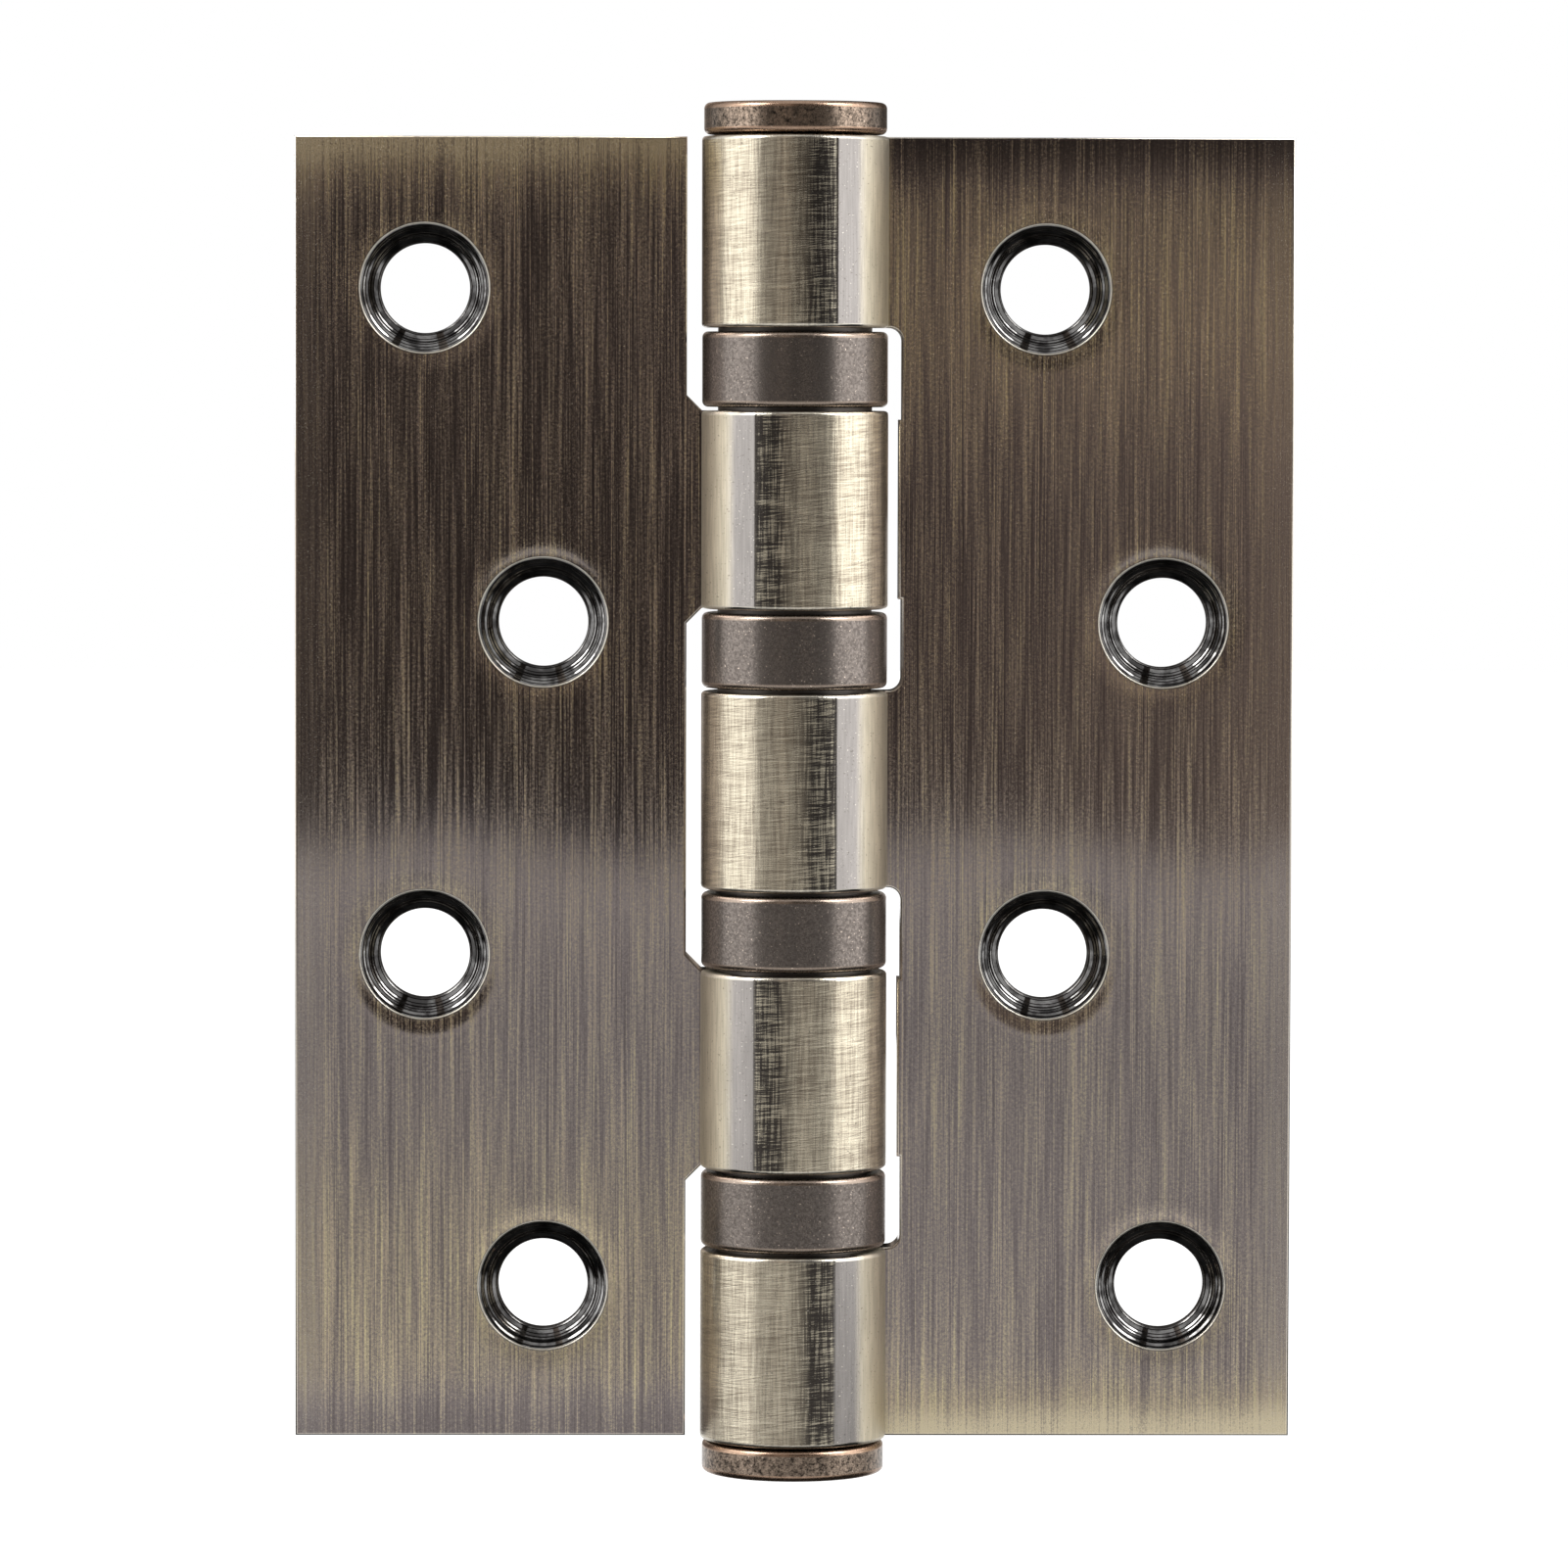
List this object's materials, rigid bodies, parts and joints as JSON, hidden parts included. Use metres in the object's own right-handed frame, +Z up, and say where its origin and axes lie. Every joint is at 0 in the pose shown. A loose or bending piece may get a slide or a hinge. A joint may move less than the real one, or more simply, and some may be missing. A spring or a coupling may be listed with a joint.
{
  "type": "loose pin hinge",
  "caption": "Butt hinge with folded leaves rolled into knuckles round a lift-out pin, thrust bearings between the knuckles and countersunk screw holes.",
  "frame": {"origin": "on the pin axis at half the leaf height, with the hinge laid open flat", "axes": "+Z up along the pin towards its lift-out head, +X along the frame leaf, +Y out of the leaves' back faces"},
  "size_m": [0.0778, 0.0146, 0.1068],
  "materials": {
    "leaf": "steel plated antique bronze, finely brushed",
    "button": "steel plated antique copper, satin",
    "shell": "steel plated antique copper, satin",
    "race": "dark hardened steel",
    "ball": "polished bearing steel"
  },
  "bodies": {
    "frame_side": {"frame_leaf": "leaf", "bottom_plug": "button", "bearing_1_upper_race": "race", "bearing_2_lower_race": "race", "bearing_2_shell": "shell", "bearing_3_upper_race": "race", "bearing_4_lower_race": "race", "bearing_4_shell": "shell"},
    "door_side": {"door_leaf": "leaf", "bearing_1_lower_race": "race", "bearing_1_shell": "shell", "bearing_2_upper_race": "race", "bearing_3_lower_race": "race", "bearing_3_shell": "shell", "bearing_4_upper_race": "race"},
    "loose_pin": {"pin": "button"},
    "ball_ring_1": {"bearing_1_balls": "ball"},
    "ball_ring_2": {"bearing_2_balls": "ball"},
    "ball_ring_3": {"bearing_3_balls": "ball"},
    "ball_ring_4": {"bearing_4_balls": "ball"}
  },
  "joints": [
    {"name": "leaf_turn", "type": "hinge", "parent": "frame_side", "child": "door_side", "pos_m": [0, 0, 0], "axis": [0, 0, 1], "range_deg": [-125, 180]},
    {"name": "pin_lift", "type": "slide", "parent": "frame_side", "child": "loose_pin", "axis": [0, 0, 1], "range_m": [0, 0.1]},
    {"name": "ball_ring_1_turn", "type": "hinge", "parent": "frame_side", "child": "ball_ring_1", "pos_m": [0, 0, 0.03275], "axis": [0, 0, 1], "range_deg": [-63, 91]},
    {"name": "ball_ring_2_turn", "type": "hinge", "parent": "frame_side", "child": "ball_ring_2", "pos_m": [0, 0, 0.01091], "axis": [0, 0, 1], "range_deg": [-63, 91]},
    {"name": "ball_ring_3_turn", "type": "hinge", "parent": "frame_side", "child": "ball_ring_3", "pos_m": [0, 0, -0.01091], "axis": [0, 0, 1], "range_deg": [-63, 91]},
    {"name": "ball_ring_4_turn", "type": "hinge", "parent": "frame_side", "child": "ball_ring_4", "pos_m": [0, 0, -0.03275], "axis": [0, 0, 1], "range_deg": [-63, 91]}
  ],
  "couplings": [
    {"joint": "ball_ring_1_turn", "follows": "leaf_turn", "ratio": 0.5},
    {"joint": "ball_ring_2_turn", "follows": "leaf_turn", "ratio": 0.5},
    {"joint": "ball_ring_3_turn", "follows": "leaf_turn", "ratio": 0.5},
    {"joint": "ball_ring_4_turn", "follows": "leaf_turn", "ratio": 0.5}
  ]
}
